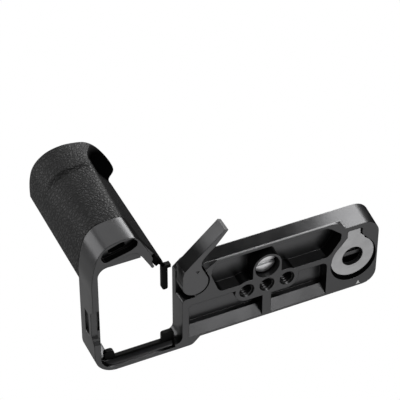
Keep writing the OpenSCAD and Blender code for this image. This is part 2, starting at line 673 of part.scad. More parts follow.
blade_start_r = 8;
module swing_arm() color(metal) difference() {
    union() {
        translate([pivot_at[0], pivot_at[1], 0]) rod(eye_r, z_bot, arm_top);
        slab(z_bot, arm_top) polygon(arm_plan);
        // blade, taller than the eye where it stands clear of the plate
        difference() {
            slab(z_bot, blade_top) polygon(arm_plan);
            translate([pivot_at[0], pivot_at[1], 0]) rod(blade_start_r, arm_top, 1);
        }
    }
    translate([pivot_at[0], pivot_at[1], 0]) {
        rod(1.5 + fit_gap, -8.2, 1);
        rotate([0, 0, ball_dir]) translate([ball_ring_r, 0, 0]) rod(ball_r + fit_gap, arm_top - 3, 1);
    }
    // small dimple in the bottom face
    slab(z_bot - 1, z_bot + 0.4) polygon([[-31.4, -9.4], [-29.9, -9], [-30.6, -7.9]]);
}

module arm_pivot_screw() color(steel) translate([pivot_at[0], pivot_at[1], 0]) difference() {
    union() {
        rod(pivot_head_r, -1.6 + run_gap, -0.3);
        rod(shoulder_r, arm_top, -1.6 + run_gap + seam);
        rod(1.5, -7.8, arm_top + seam);
    }
    rod(1.2, -1.2, 0, $fn = 6);
}

module arm_washer() color(steel) translate([pivot_at[0], pivot_at[1], 0]) difference() {
    rod(3.1, arm_top, -slab_t - run_gap);
    rod(shoulder_r + fit_gap, arm_top - 1, 0);
}

module at_ball() translate([pivot_at[0], pivot_at[1], 0]) rotate([0, 0, ball_dir]) translate([ball_ring_r, 0, 0]) children();

module detent_ball() color(steel) at_ball() translate([0, 0, arm_top]) sphere(r = ball_r, $fn = 32);

spring_in_r = 0.5;
module detent_spring() color(steel) at_ball() difference() {
    rod(0.68, arm_top - 3, arm_top - sqrt(ball_r * ball_r - spring_in_r * spring_in_r) - 0.02);
    rod(spring_in_r, arm_top - 4, arm_top + 1);
}

module key_disc() color(steel) difference() {
    slab(z_bot + key_recess, z_bot + key_recess + key_t) difference() {
        union() {
            translate(key_at) circle(r = key_r);
            polygon([[key_at[0] - 3, blade_tip], [key_at[0] + 3, blade_tip], [key_at[0] + 3, -1.4],
                [key_at[0] + 4.9, 0.4], [key_at[0] + 5.4, 3], [key_at[0] - 5.4, 3], [key_at[0] - 4.9, 0.4],
                [key_at[0] - 3, -1.4]]);
        }
        translate(key_at) circle(r = key_hole_r);
    }
}

module key_magnet(side) color(steel) translate([key_at[0] + side * magnet_at[0], key_at[1] + magnet_at[1], 0])
    rod(magnet_r, shelf_z + 0.1, shelf_z + 0.1 + magnet_t);

plate_frame();
handle_cover();
handle_liner();
side_foot();
rail_pad();
seat_pad(pad_left_plan);  // seat_pad_left
seat_pad(pad_right_plan);  // seat_pad_right
camera_screw();
screw_retainer();
swing_arm();
arm_pivot_screw();
arm_washer();
detent_ball();
detent_spring();
key_disc();
key_magnet(-1);  // key_magnet_left
key_magnet(1);  // key_magnet_right
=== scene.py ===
import math
import bmesh
import bpy
import numpy as np
from mathutils import Matrix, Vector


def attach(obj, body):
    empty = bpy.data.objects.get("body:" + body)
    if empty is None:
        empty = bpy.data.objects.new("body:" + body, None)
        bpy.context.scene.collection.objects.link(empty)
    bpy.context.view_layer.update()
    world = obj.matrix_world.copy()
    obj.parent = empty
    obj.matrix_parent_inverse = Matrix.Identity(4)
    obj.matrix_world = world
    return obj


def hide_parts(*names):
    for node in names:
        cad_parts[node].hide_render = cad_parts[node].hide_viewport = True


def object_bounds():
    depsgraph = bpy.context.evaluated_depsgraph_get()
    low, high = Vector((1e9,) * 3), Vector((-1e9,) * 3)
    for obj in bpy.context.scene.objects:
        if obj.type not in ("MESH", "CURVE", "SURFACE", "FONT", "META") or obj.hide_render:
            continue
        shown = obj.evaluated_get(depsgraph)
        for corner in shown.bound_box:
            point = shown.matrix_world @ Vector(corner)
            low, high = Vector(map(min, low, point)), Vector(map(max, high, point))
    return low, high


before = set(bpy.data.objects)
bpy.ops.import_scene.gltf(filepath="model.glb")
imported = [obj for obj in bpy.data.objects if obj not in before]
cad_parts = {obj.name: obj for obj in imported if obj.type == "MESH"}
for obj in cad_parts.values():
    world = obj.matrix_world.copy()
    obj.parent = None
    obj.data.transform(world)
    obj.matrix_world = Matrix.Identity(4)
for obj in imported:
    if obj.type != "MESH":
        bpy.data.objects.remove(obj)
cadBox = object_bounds()
print("frame loaded,", len(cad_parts), "pieces")
mm = 0.001

# The view looks up at the plate from below and in front, a little to its left
viewpoint = {
    "place": (-257.7108, -504.1338, -500.0057),  # mm
    "turn": (139.65776, 24.85639, -0.09190),  # degrees
    "lens": 169.2592,
}
viewCamera = bpy.data.objects.new("viewCamera", bpy.data.cameras.new("viewCamera"))
bpy.context.scene.collection.objects.link(viewCamera)
viewCamera.location = [v * mm for v in viewpoint["place"]]
viewCamera.rotation_euler = [math.radians(v) for v in viewpoint["turn"]]
viewCamera.data.lens = viewpoint["lens"]
viewCamera.data.sensor_width = 36
viewCamera.data.clip_start = 0.01
bpy.context.scene.camera = viewCamera
bpy.context.scene.view_settings.view_transform = "Standard"
print("camera placed")


def addNode(tree, kind, inputs=None, **settings):
    node = tree.nodes.new(kind)
    for key, value in settings.items():
        setattr(node, key, value)
    for key, value in (inputs or {}).items():
        if isinstance(value, bpy.types.NodeSocket):
            tree.links.new(value, node.inputs[key])
        else:
            node.inputs[key].default_value = value
    return node


def math2(tree, operation, a, b=0.0, clamp=False):
    return addNode(tree, "ShaderNodeMath", {0: a, 1: b}, operation=operation, use_clamp=clamp).outputs[0]


def rampTo(tree, value, low, high, first=0.0, last=1.0, kind="SMOOTHSTEP"):
    inputs = {"Value": value, "From Min": low, "From Max": high, "To Min": first, "To Max": last}
    return addNode(tree, "ShaderNodeMapRange", inputs, interpolation_type=kind).outputs[0]


def mixColour(tree, share, first, second):
    node = tree.nodes.new("ShaderNodeMix")
    node.data_type = "RGBA"
    for socket, value in ((node.inputs["Factor"], share), (node.inputs[6], first), (node.inputs[7], second)):
        if isinstance(value, bpy.types.NodeSocket):
            tree.links.new(value, socket)
        else:
            socket.default_value = value
    return node.outputs[2]


def newGroup(name, inputs, outputs):
    tree = bpy.data.node_groups.new(name, "ShaderNodeTree")
    for label, kind, value in inputs:
        socket = tree.interface.new_socket(label, in_out="INPUT", socket_type=kind)
        if value is not None:
            socket.default_value = value
    for label, kind in outputs:
        tree.interface.new_socket(label, in_out="OUTPUT", socket_type=kind)
    return tree, tree.nodes.new("NodeGroupInput"), tree.nodes.new("NodeGroupOutput")


number, vector = "NodeSocketFloat", "NodeSocketVector"


def makeEdgeWearAndSheen():
    # rounds the shading near edges, and masks where the rounded normal leaves the face's own; the finishes
    # colour that mask, a painted highlight along the rims broken into patches like wear
    tree, given, result = newGroup(
        "edgeWearAndSheen",
        [("Vector", vector, None), ("Radius", number, 0.0003), ("Patchy", number, 0.4),
         ("Reach", number, 0.08)],
        [("Mask", number), ("Normal", vector)])
    bent = addNode(tree, "ShaderNodeBevel", {"Radius": given.outputs["Radius"]}, samples=6)
    face = tree.nodes.new("ShaderNodeNewGeometry")
    along = addNode(tree, "ShaderNodeVectorMath", {0: bent.outputs[0], 1: face.outputs["Normal"]},
                    operation="DOT_PRODUCT").outputs["Value"]
    turned = math2(tree, "SUBTRACT", 1.0, along)
    near = addNode(tree, "ShaderNodeMapRange",
                   {"Value": turned, "From Min": 0.004, "From Max": given.outputs["Reach"]},
                   interpolation_type="SMOOTHSTEP").outputs[0]
    patches = addNode(tree, "ShaderNodeTexNoise",
                      {"Vector": given.outputs["Vector"], "Scale": 0.35, "Detail": 4.0, "Roughness": 0.6})
    wornSheen = rampTo(tree, patches.outputs["Fac"], 0.35, 0.62)
    kept = math2(tree, "SUBTRACT", 1.0, math2(tree, "MULTIPLY", given.outputs["Patchy"],
                                              math2(tree, "SUBTRACT", 1.0, wornSheen)))
    tree.links.new(math2(tree, "MULTIPLY", near, kept), result.inputs["Mask"])
    tree.links.new(bent.outputs[0], result.inputs["Normal"])
    return tree


def makeBlastGrain():
    # fine blasted surface: speckle for the height, and slow clouds for the tone
    tree, given, result = newGroup(
        "blastGrain", [("Vector", vector, None), ("Grain", number, 5.0), ("Clouds", number, 0.06)],
        [("Height", number), ("Tone", number)])
    fine = addNode(tree, "ShaderNodeTexNoise",
                   {"Vector": given.outputs["Vector"], "Scale": given.outputs["Grain"], "Detail": 5.0,
                    "Roughness": 0.65})
    slow = addNode(tree, "ShaderNodeTexNoise",
                   {"Vector": given.outputs["Vector"], "Scale": given.outputs["Clouds"], "Detail": 3.0})
    tree.links.new(fine.outputs["Fac"], result.inputs["Height"])
    both = math2(tree, "ADD", math2(tree, "MULTIPLY", slow.outputs["Fac"], 0.75),
                 math2(tree, "MULTIPLY", fine.outputs["Fac"], 0.25))
    tree.links.new(rampTo(tree, both, 0.36, 0.64), result.inputs["Tone"])
    return tree


def makeLeatherGrain():
    # pebbles between creases: Voronoi cells on a bent grid, with smaller cells and pores laid over
    tree, given, result = newGroup(
        "leatherGrain", [("Vector", vector, None), ("Cells", number, 0.8), ("Bend", number, 0.5)],
        [("Height", number), ("CreaseShade", number), ("Tone", number)])
    bend = addNode(tree, "ShaderNodeTexNoise",
                   {"Vector": given.outputs["Vector"], "Scale": 0.7, "Detail": 3.0, "Roughness": 0.6})
    shift = addNode(tree, "ShaderNodeVectorMath", {0: bend.outputs["Color"], 1: (0.5, 0.5, 0.5)},
                    operation="SUBTRACT").outputs[0]
    pushed = addNode(tree, "ShaderNodeVectorMath", {0: shift, "Scale": given.outputs["Bend"]},
                     operation="SCALE")
    place = addNode(tree, "ShaderNodeVectorMath", {0: given.outputs["Vector"], 1: pushed.outputs[0]},
                    operation="ADD").outputs[0]
    big = addNode(tree, "ShaderNodeTexVoronoi", {"Vector": place, "Scale": given.outputs["Cells"]},
                  feature="DISTANCE_TO_EDGE").outputs["Distance"]
    small = addNode(tree, "ShaderNodeTexVoronoi",
                    {"Vector": place, "Scale": math2(tree, "MULTIPLY", given.outputs["Cells"], 2.3)},
                    feature="DISTANCE_TO_EDGE").outputs["Distance"]
    pebble = rampTo(tree, big, 0.0, 0.32)
    dimple = rampTo(tree, small, 0.0, 0.3)
    pores = addNode(tree, "ShaderNodeTexNoise",
                    {"Vector": place, "Scale": 6.0, "Detail": 4.0, "Roughness": 0.7}).outputs["Fac"]
    height = math2(tree, "ADD", math2(tree, "MULTIPLY", pebble, 0.74), math2(tree, "MULTIPLY", dimple, 0.18))
    height = math2(tree, "ADD", height, math2(tree, "MULTIPLY", pores, 0.08))
    tree.links.new(height, result.inputs["Height"])
    # the crease mask darkens the hollows between pebbles: painted shade
    tree.links.new(math2(tree, "SUBTRACT", 1.0, pebble), result.inputs["CreaseShade"])
    tree.links.new(rampTo(tree, bend.outputs["Fac"], 0.3, 0.7), result.inputs["Tone"])
    return tree


def makeDust():
    # sparse specks and a thin film that gathers on faces that point up
    tree, given, result = newGroup(
        "dustFilm", [("Vector", vector, None), ("Specks", number, 1.6), ("Film", number, 0.1)],
        [("Mask", number)])
    dots = addNode(tree, "ShaderNodeTexVoronoi",
                   {"Vector": given.outputs["Vector"], "Scale": given.outputs["Specks"]})
    dot = rampTo(tree, dots.outputs["Distance"], 0.07, 0.02)
    cloud = addNode(tree, "ShaderNodeTexNoise",
                    {"Vector": given.outputs["Vector"], "Scale": 0.12, "Detail": 4.0})
    some = rampTo(tree, cloud.outputs["Fac"], 0.5, 0.7)
    face = tree.nodes.new("ShaderNodeNewGeometry")
    up = addNode(tree, "ShaderNodeSeparateXYZ", {0: face.outputs["Normal"]}).outputs["Z"]
    settled = math2(tree, "MULTIPLY", rampTo(tree, up, 0.2, 1.0), given.outputs["Film"])
    both = math2(tree, "ADD", math2(tree, "MULTIPLY", dot, some), math2(tree, "MULTIPLY", settled, some),
                 clamp=True)
    tree.links.new(both, result.inputs["Mask"])
    return tree


shared = {"edgeWearAndSheen": makeEdgeWearAndSheen(), "blastGrain": makeBlastGrain(), "leatherGrain": makeLeatherGrain(),
          "dustFilm": makeDust()}


def useGroup(tree, name, inputs):
    node = tree.nodes.new("ShaderNodeGroup")
    node.node_tree = shared[name]
    for key, value in inputs.items():
        if isinstance(value, bpy.types.NodeSocket):
            tree.links.new(value, node.inputs[key])
        else:
            node.inputs[key].default_value = value
    return node


def newMaterial(name, **constants):
    material = bpy.data.materials.new(name)
    material.use_nodes = True
    tree = material.node_tree
    shader = tree.nodes["Principled BSDF"]
    for key, value in constants.items():
        shader.inputs[key.replace("_", " ")].default_value = value
    spot = tree.nodes.new("ShaderNodeTexCoord").outputs["Object"]
    inMm = addNode(tree, "ShaderNodeMapping", {"Vector": spot, "Scale": (1000, 1000, 1000)}).outputs[0]
    return material, tree, shader, inMm


def layersOf(tree, spot, grainKind, s):
    # the grain, the worn edges with their painted highlight, and the dust that each finish lays over its
    # piece
    return (useGroup(tree, grainKind, {"Vector": spot, **s["grain"]}).outputs,
            useGroup(tree, "edgeWearAndSheen", {"Vector": spot, **s["edge"]}).outputs,
            useGroup(tree, "dustFilm", {"Vector": spot, **s["dust"]}).outputs)


def coated(tree, base, *coats):
    # each coat is a mask, how much of it shows, and its colour
    for mask, share, tint in coats:
        base = mixColour(tree, math2(tree, "MULTIPLY", mask, share), base, tint)
    return base


def feedShader(tree, shader, base, rough, height, normal, strength, depth):
    bump = addNode(tree, "ShaderNodeBump",
                   {"Strength": strength, "Distance": depth * mm, "Height": height, "Normal": normal})
    for socket, value in (("Base Color", base), ("Roughness", rough), ("Normal", bump.outputs[0])):
        tree.links.new(value, shader.inputs[socket])


anodised = {
    "dark": (0.088, 0.088, 0.090), "light": (0.103, 0.103, 0.105), "metallic": 0.85, "rough": (0.30, 0.38),
    "grain": {"Grain": 5.5, "Clouds": 0.07}, "strength": 0.5, "depth": 0.010,
    "edge": {"Radius": 0.36 * mm, "Patchy": 0.2, "Reach": 0.045},
    # edge colour: wear and a painted highlight along the rims
    "wornSheen": (0.27, 0.27, 0.272, 1), "wornSheenShare": 0.75,
    "dust": {"Specks": 0.8, "Film": 0.05}, "dusty": (0.35, 0.34, 0.32, 1), "dustShare": 0.12,
    "mark": (0.75, 0.75, 0.74, 1), "markAt": (42.3, 24.5), "markSize": 0.9, "markBelow": -9.0,
}


def printedMark(tree, spot, a):
    # mask of a plain triangle on the bottom face, its tip towards the disc
    parts = addNode(tree, "ShaderNodeSeparateXYZ", {0: spot}).outputs
    across = math2(tree, "ABSOLUTE", math2(tree, "SUBTRACT", parts["X"], a["markAt"][0]))
    fromTip = math2(tree, "SUBTRACT", parts["Y"], a["markAt"][1] - a["markSize"])
    down = math2(tree, "DIVIDE", fromTip, 2 * a["markSize"])
    inside = math2(tree, "LESS_THAN", across, math2(tree, "MULTIPLY", down, a["markSize"]))
    inside = math2(tree, "MULTIPLY", inside, math2(tree, "LESS_THAN", down, 1.0))
    return math2(tree, "MULTIPLY", inside, math2(tree, "LESS_THAN", parts["Z"], a["markBelow"]))


def anodisedMetal(name, marked=False, paler=1.0):
    a = anodised
    material, tree, shader, spot = newMaterial(name, Metallic=a["metallic"])
    grain, edge, dust = layersOf(tree, spot, "blastGrain", a)
    dark, light = ([v * paler for v in a[k]] + [1] for k in ("dark", "light"))
    # the edges take the painted highlight colour, patchy like wear
    base = coated(tree, mixColour(tree, grain["Tone"], dark, light),
                  (edge["Mask"], a["wornSheenShare"], a["wornSheen"]), (dust["Mask"], a["dustShare"], a["dusty"]))
    if marked:
        base = mixColour(tree, printedMark(tree, spot, a), base, a["mark"])
    rough = rampTo(tree, grain["Tone"], 0.0, 1.0, a["rough"][0], a["rough"][1], "LINEAR")
    feedShader(tree, shader, base, rough, grain["Height"], edge["Normal"], a["strength"], a["depth"])
    return material


skin = {
    "dark": (0.026, 0.026, 0.0265, 1), "light": (0.038, 0.038, 0.0385, 1), "rough": (0.42, 0.62),
    # painted shade in the grain's creases
    "crease": (0.008, 0.008, 0.0082, 1), "creaseShare": 0.6,
    "grain": {"Cells": 0.62, "Bend": 1.1}, "strength": 0.7, "depth": 0.20,
    "edge": {"Radius": 0.25 * mm, "Patchy": 0.6, "Reach": 0.2},
    "dust": {"Specks": 1.1, "Film": 0.12}, "dusty": (0.12, 0.12, 0.115, 1), "dustShare": 0.15,
}


def leatherSkin(name, gloss):
    material, tree, shader, spot = newMaterial(name, Specular_IOR_Level=gloss)
    grain, edge, dust = layersOf(tree, spot, "leatherGrain", skin)
    base = coated(tree, mixColour(tree, grain["Tone"], skin["dark"], skin["light"]),
                  # painted shade darkens the creases between pebbles
                  (grain["CreaseShade"], skin["creaseShare"], skin["crease"]),
                  (dust["Mask"], skin["dustShare"], skin["dusty"]))
    rough = rampTo(tree, grain["Height"], 0.2, 0.95, skin["rough"][1], skin["rough"][0], "LINEAR")
    feedShader(tree, shader, base, rough, grain["Height"], edge["Normal"], skin["strength"], skin["depth"])
    return material


rubber = {
    "rough": (0.62, 0.8), "grain": {"Grain": 3.2, "Clouds": 0.2}, "strength": 0.6, "depth": 0.03,
    "edge": {"Radius": 0.15 * mm, "Patchy": 0.5, "Reach": 0.15},
    # edge colour: wear and a painted highlight along the rims
    "wornSheen": (0.035, 0.035, 0.035, 1), "wornSheenShare": 0.3,
    "dust": {"Specks": 1.4, "Film": 0.2}, "dusty": (0.10, 0.10, 0.095, 1), "dustShare": 0.2,
}


def blackRubber(name, low, high, gloss):
    material, tree, shader, spot = newMaterial(name, Specular_IOR_Level=gloss)
    grain, edge, dust = layersOf(tree, spot, "blastGrain", rubber)
    # the edges take the painted highlight colour, patchy like wear
    base = coated(tree, mixColour(tree, grain["Tone"], (low, low, low, 1), (high, high, high, 1)),
                  (edge["Mask"], rubber["wornSheenShare"], rubber["wornSheen"]),
                  (dust["Mask"], rubber["dustShare"], rubber["dusty"]))
    rough = rampTo(tree, grain["Height"], 0.3, 0.7, rubber["rough"][0], rubber["rough"][1], "LINEAR")
    feedShader(tree, shader, base, rough, grain["Height"], edge["Normal"], rubber["strength"],
               rubber["depth"])
    return material


steel = {
    "grain": {"Grain": 4.0, "Clouds": 0.15}, "edge": {"Radius": 0.2 * mm, "Patchy": 0.3, "Reach": 0.1},
    # edge colour: wear and a painted highlight along the rims
    "wornSheen": (0.85, 0.85, 0.85, 1), "wornSheenShare": 0.5, "alongX": 0.12, "markScale": 1.6, "roughSpread": 0.06,
    "strength": 0.35, "depth": 0.02, "cool": 1.01,
}


def turnedSteel(name, low, high, rough, around=None, lines=3.0, metallic=1.0):
    # turning marks run round the axis at around, or brushed along X without one
    material, tree, shader, spot = newMaterial(name, Metallic=metallic)
    grain = useGroup(tree, "blastGrain", {"Vector": spot, **steel["grain"]}).outputs
    edge = useGroup(tree, "edgeWearAndSheen", {"Vector": spot, **steel["edge"]}).outputs
    if around:
        centred = addNode(tree, "ShaderNodeVectorMath", {0: spot, 1: (around[0], around[1], 0)},
                          operation="SUBTRACT").outputs[0]
        flat = addNode(tree, "ShaderNodeVectorMath", {0: centred, 1: (1, 1, 0)},
                       operation="MULTIPLY").outputs[0]
        away = addNode(tree, "ShaderNodeVectorMath", {0: flat}, operation="LENGTH").outputs["Value"]
        height = addNode(tree, "ShaderNodeSeparateXYZ", {0: spot}).outputs["Z"]
        path = addNode(tree, "ShaderNodeCombineXYZ",
                       {"X": math2(tree, "MULTIPLY", away, lines),
                        "Y": math2(tree, "MULTIPLY", height, lines)}).outputs[0]
    else:
        path = addNode(tree, "ShaderNodeVectorMath", {0: spot, 1: (steel["alongX"], lines, lines)},
                       operation="MULTIPLY").outputs[0]
    marks = addNode(tree, "ShaderNodeTexNoise",
                    {"Vector": path, "Scale": steel["markScale"], "Detail": 5.0,
                     "Roughness": 0.7}).outputs["Fac"]
    dark, light = ((v, v, v * steel["cool"], 1) for v in (low, high))
    # the edges take the painted highlight colour, patchy like wear
    base = coated(tree, mixColour(tree, grain["Tone"], dark, light),
                  (edge["Mask"], steel["wornSheenShare"], steel["wornSheen"]))
    spread = steel["roughSpread"]
    mixedRough = rampTo(tree, marks, 0.3, 0.7, rough - spread, rough + spread, "LINEAR")
    feedShader(tree, shader, base, mixedRough, marks, edge["Normal"], steel["strength"], steel["depth"])
    return material


finishes = {
    "plate": anodisedMetal("anodisedPlate", marked=True),
    "arm": anodisedMetal("anodisedArm", paler=1.25),
    # a far darker copy of the anodising: painted shade on the arm's tip
    "armTipShade": anodisedMetal("anodisedTipShade", paler=0.2),
    "skin": leatherSkin("grainedSkin", 0.36),
    # less glossy copies of the skin: painted shade where it turns into the flank
    "skinHalfShade": leatherSkin("halfShadedSkin", 0.27),
    "skinShade": leatherSkin("shadedSkin", 0.12),
    "rubber": blackRubber("blackRubber", 0.006, 0.010, 0.25),
    # the lining's black, also laid as painted shade over the handle's flank and hook hollow
    "liner": blackRubber("linerRubber", 0.003, 0.006, 0.08),
    "screw": turnedSteel("turnedScrew", 0.88, 0.94, 0.40, around=(0, 0), metallic=0.9),
    "key": turnedSteel("satinKey", 0.54, 0.62, 0.42, lines=2.4),
    "fitting": turnedSteel("darkFitting", 0.20, 0.28, 0.30, around=(-31.6, -2.8)),
    "magnet": turnedSteel("platedMagnet", 0.62, 0.70, 0.18, lines=1.0),
}
print("finishes ready")


def gridQuads(rows, columns, wrapRows=False, wrapColumns=False, flip=False):
    i = np.arange(rows if wrapRows else rows - 1)[:, None]
    j = np.arange(columns if wrapColumns else columns - 1)[None, :]
    i2, j2 = (i + 1) % rows, (j + 1) % columns
    corners = [i * columns + j, i * columns + j2, i2 * columns + j2, i2 * columns + j]
    quads = np.stack([np.broadcast_to(c, np.broadcast(i, j).shape) for c in corners], -1).reshape(-1, 4)
    return quads[:, ::-1] if flip else quads


def meshFrom(name, points, faces):
    # points in mm; faces are index arrays, each all quads, all triangles or one ring of corners
    mesh = bpy.data.meshes.new(name)
    rows = [np.atleast_2d(np.asarray(f)) for f in faces]
    loops = np.concatenate([r.ravel() for r in rows])
    sizes = np.concatenate([np.full(len(r), r.shape[1]) for r in rows])
    starts = np.concatenate([[0], np.cumsum(sizes)[:-1]])
    mesh.vertices.add(len(points))
    mesh.vertices.foreach_set("co", (np.asarray(points, float) * mm).astype(np.float32).ravel())
    mesh.loops.add(len(loops))
    mesh.loops.foreach_set("vertex_index", loops.astype(np.int32))
    mesh.polygons.add(len(sizes))
    mesh.polygons.foreach_set("loop_start", starts.astype(np.int32))
    mesh.update(calc_edges=True)
    mesh.validate()
    return mesh


def putPiece(name, mesh, body, material, sharp=35, stands=()):
    piece = bpy.data.objects.new(name, mesh)
    bpy.context.scene.collection.objects.link(piece)
    mesh.shade_smooth()
    mesh.set_sharp_from_angle(angle=math.radians(sharp))
    mesh.materials.clear()
    mesh.materials.append(material)
    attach(piece, body)
    if stands:
        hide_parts(*stands)
    return piece


def packedArrays(node):
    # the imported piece's points in mm and its triangles, with doubles merged
    bm = bmesh.new()
    bm.from_mesh(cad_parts[node].data)
    bmesh.ops.remove_doubles(bm, verts=bm.verts, dist=2e-6)
    bmesh.ops.triangulate(bm, faces=bm.faces)
    merged = bpy.data.meshes.new("merged")
    bm.to_mesh(merged)
    bm.free()
    points = np.empty(len(merged.vertices) * 3, np.float32)
    corners = np.empty(len(merged.loops), np.int32)
    merged.vertices.foreach_get("co", points)
    merged.loops.foreach_get("vertex_index", corners)
    bpy.data.meshes.remove(merged)
    return points.reshape(-1, 3).astype(float) / mm, corners.reshape(-1, 3)


def evenShading(piece):
    even = piece.modifiers.new("evenShading", "WEIGHTED_NORMAL")
    even.mode, even.weight, even.keep_sharp = "FACE_AREA", 80, True


def roundEdges(piece, width, segments=2):
    bevel = piece.modifiers.new("rounding", "BEVEL")
    bevel.width, bevel.segments = width * mm, segments
    bevel.limit_method, bevel.angle_limit = "ANGLE", math.radians(32)
    bevel.use_clamp_overlap = True
    bevel.harden_normals = False


def softTwin(node, name, body, material, sharp=28, edge=None):
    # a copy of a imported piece, shaded smooth over its shallow facets; edge rounds its corners, in mm
    points, triangles = packedArrays(node)
    piece = putPiece(name, meshFrom(name, points, [triangles]), body, material, sharp, (node,))
    if edge:
        bm = bmesh.new()
        bm.from_mesh(piece.data)
        bmesh.ops.dissolve_limit(bm, angle_limit=math.radians(0.5), verts=bm.verts, edges=bm.edges)
        bm.to_mesh(piece.data)
        bm.free()
        roundEdges(piece, edge)
    evenShading(piece)
    return piece


# The handle's outline, as in the CAD: foot and rim, how evenly each point leans, and the core behind it
handle = {
    "foot": [(-75, -12), (-75, -17.5), (-74.4, -22.3), (-73.4, -27.5), (-71.5, -32.3), (-68, -35.5),
             (-62.7, -36.75), (-57.9, -36.7), (-55.4, -34.9), (-53.2, -31.2), (-51.2, -27.1), (-48.6, -21.6),
             (-45.2, -16.4), (-41.6, -11)],
    "rim": [(-75, -12.6), (-75, -17.8), (-74.5, -22.6), (-73.3, -26.5), (-70.7, -30), (-66.3, -32.8),
            (-60.7, -34), (-55.4, -33.7), (-50.4, -32.4), (-46.6, -29.5), (-43.1, -24.8), (-39.9, -18.9),
            (-38.7, -14.2), (-41.2, -10.9)],
    "core": [(-73.5, -12), (-73.5, -17.4), (-73, -21.9), (-71.9, -25.8), (-69.6, -28.8), (-65.8, -31.2),
             (-61, -32.4), (-57.8, -32.2), (-55.6, -30.9), (-53.9, -28.6), (-52.2, -25.7), (-49.8, -20.8),
             (-46.5, -15.6), (-42.85, -10.2)],
    "lean": [1, 1, 1, 1, 1, 1, 1, 0.8, 0.45, 0.2, 0.05, 0, 0, 0],
    "creaseShare": [0, 0, 0, 0.3, 0.75, 1, 1, 0.8, 0.3, 0, 0, 0, 0, 0],
    "flareStart": [40, 40, 40, 40, 40, 40, 40, 40, 43, 47, 51, 52, 52.4, 52.6],
    "bandTop": 3.6, "top": 57.4, "coreTop": 52, "coreThick": 1.2, "flareEnd": 55.8, "rimRound": 1.3,
    "innerRound": 0.6, "rimSteps": 9, "perSpan": 16,
    "creaseAt": 38.5, "creaseDepth": 0.4, "creaseWide": 3.2, "creaseBelow": 9, "creaseAbove": 16,
    "footRound": [(0, 0.35), (0.12, 0.1), (0.35, 0)],  # height over bandTop, and how far the foot draws in
    "heights": [(4.5, 30, 50), (30.5, 42, 44), (42.6, 51.4, 26)], "lastHeights": (51.7, 26),  # from, to, rows
}


def throughPoints(values, perSpan):
    # Catmull-Rom curve through the points, perSpan steps between neighbours
    p = np.asarray(values, float)
    p = p[:, None] if p.ndim == 1 else p
    p = np.vstack([2 * p[0] - p[1], p, 2 * p[-1] - p[-2]])
    t = (np.arange(perSpan) / perSpan)[None, :, None]
    a, b, c, d = p[:-3, None], p[1:-2, None], p[2:-1, None], p[3:, None]
    curve = 0.5 * (2 * b + (c - a) * t + (2 * a - 5 * b + 4 * c - d) * t ** 2
                   + (3 * b - a - 3 * c + d) * t ** 3)
    return np.vstack([curve.reshape(-1, p.shape[1]), p[-2]])


def step01(x):
    x = np.clip(x, 0, 1)
    return x * x * (3 - 2 * x)


def outwardOf(line):
    along = np.gradient(line, axis=0)
    along /= np.linalg.norm(along, axis=1)[:, None]
    return np.stack([along[:, 1], -along[:, 0]], 1)


def handleSkin(h):
    # outer wall: foot to rim by the lean, pushed along the foot's normal by the crease, over heights z;
    # inner wall: the core's line, over the core's top above coreTop; both are grids of station x height
    foot, rim, core = (throughPoints(h[k], h["perSpan"]) for k in ("foot", "rim", "core"))
    lean, share, flare = (throughPoints(h[k], h["perSpan"])[:, 0]
                          for k in ("lean", "creaseShare", "flareStart"))
    footOut, coreOut = outwardOf(foot), outwardOf(core)
    low, top, r = h["bandTop"], h["top"], h["rimRound"]
    arc = np.linspace(0, math.pi / 2, h["rimSteps"])[1:]
    rise, drawn = np.array(h["footRound"]).T
    z = np.concatenate([low + rise, *(np.linspace(*span) for span in h["heights"]),
                        np.linspace(h["lastHeights"][0], top - r, h["lastHeights"][1]),
                        top - r + r * np.sin(arc)])
    back = np.concatenate([drawn, np.zeros(len(z) - len(rise) - len(arc)), r * (1 - np.cos(arc))])
    even = np.minimum(1, (z - low) / (h["flareEnd"] - low))
    late = step01((z[None] - flare[:, None]) / (h["flareEnd"] - flare[:, None]))
    t = lean[:, None] * even[None] + (1 - lean[:, None]) * late
    c, d, w = h["creaseAt"], h["creaseDepth"], h["creaseWide"]
    under = -d * step01((z - c + h["creaseBelow"]) / h["creaseBelow"])
    over = d * (1 - step01((z - c - w) / h["creaseAbove"]))
    wave = np.where(z < c, under, np.where(z < c + w, -d + 2 * d * step01((z - c) / w), over))
    push = share[:, None] * wave[None] - back[None]
    outer = foot[:, None] + (rim - foot)[:, None] * t[..., None] + footOut[:, None] * push[..., None]
    n, m = outer.shape[:2]
    outer = np.dstack([outer, np.broadcast_to(z, (n, m))])
    capped = z > h["coreTop"]
    depth = np.where(capped, h["coreThick"], 0.0)
    inside = h["innerRound"]
    depth[-len(arc):] = h["coreThick"] - np.linspace(0, inside, len(arc)) ** 2 / inside
    innerZ = z.copy()
    innerZ[np.argmax(capped)] = h["coreTop"]
    inner = core[:, None] - coreOut[:, None] * depth[None, :, None]
    inner = np.dstack([inner, np.broadcast_to(innerZ, (n, m))])
    points = np.vstack([outer.reshape(-1, 3), inner.reshape(-1, 3)])
    at = np.arange(n * m).reshape(n, m)
    half = n * m
    strips = [
        gridQuads(n, m, flip=True), gridQuads(n, m) + half,
        np.stack([at[:-1, -1], at[1:, -1], at[1:, -1] + half, at[:-1, -1] + half], 1),
        np.stack([at[:-1, 0], at[:-1, 0] + half, at[1:, 0] + half, at[1:, 0]], 1),
        np.stack([at[0, :-1], at[0, 1:], at[0, 1:] + half, at[0, :-1] + half], 1)[:, ::-1],
        np.stack([at[-1, :-1], at[-1, :-1] + half, at[-1, 1:] + half, at[-1, 1:]], 1)[:, ::-1],
    ]
    return points, strips


